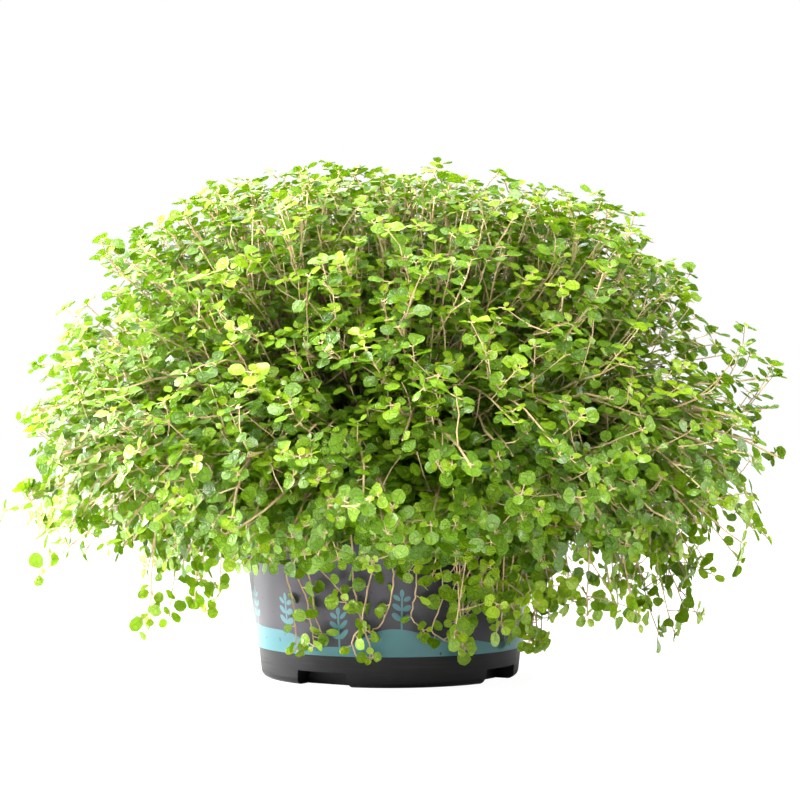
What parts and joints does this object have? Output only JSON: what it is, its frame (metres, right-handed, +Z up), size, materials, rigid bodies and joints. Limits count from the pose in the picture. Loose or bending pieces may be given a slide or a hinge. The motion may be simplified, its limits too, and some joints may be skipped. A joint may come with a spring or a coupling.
{
  "type": "potted baby's tears plant",
  "caption": "Dome of small-leaved baby's tears foliage that grows out of a round printed nursery pot and spills over its rim.",
  "frame": {"origin": "on the surface it stands on, at the middle of the pot's bottom pad", "axes": "+Z up; -Y is the front that the picture shows; +X is to the viewer's right and is the widest way across the foliage"},
  "size_m": [0.2832, 0.2752, 0.1929],
  "materials": {
    "pot_plastic": "black injection-moulded plastic, satin, faint ribs, scuffed at the foot",
    "sleeve_print": "glossy dark grey printed film with a muted teal garden band",
    "soil": "moist peat and bark fibre, rough and matt",
    "foliage": "thin living leaves, lime at the tips to deep green, soft satin gloss, on pale tan stems"
  },
  "bodies": {
    "root": {"pot": "pot_plastic", "print_sleeve": "sleeve_print", "soil": "soil", "stem_01": "foliage", "stem_02": "foliage", "stem_03": "foliage", "stem_04": "foliage", "stem_05": "foliage", "stem_06": "foliage", "stem_07": "foliage", "stem_08": "foliage", "stem_09": "foliage", "stem_10": "foliage", "stem_11": "foliage", "stem_12": "foliage", "stem_13": "foliage", "stem_14": "foliage", "stem_15": "foliage", "stem_16": "foliage", "stem_17": "foliage", "stem_18": "foliage", "stem_19": "foliage", "stem_20": "foliage", "stem_21": "foliage", "stem_22": "foliage", "stem_23": "foliage", "stem_24": "foliage", "stem_25": "foliage", "stem_26": "foliage", "stem_27": "foliage", "stem_28": "foliage", "stem_29": "foliage", "stem_30": "foliage", "stem_31": "foliage", "stem_32": "foliage", "stem_33": "foliage", "stem_34": "foliage", "stem_35": "foliage", "stem_36": "foliage", "stem_37": "foliage", "stem_38": "foliage", "stem_39": "foliage", "stem_40": "foliage", "stem_41": "foliage", "stem_42": "foliage", "stem_43": "foliage", "stem_44": "foliage", "stem_45": "foliage", "stem_46": "foliage", "stem_47": "foliage", "stem_48": "foliage"}
  },
  "joints": []
}
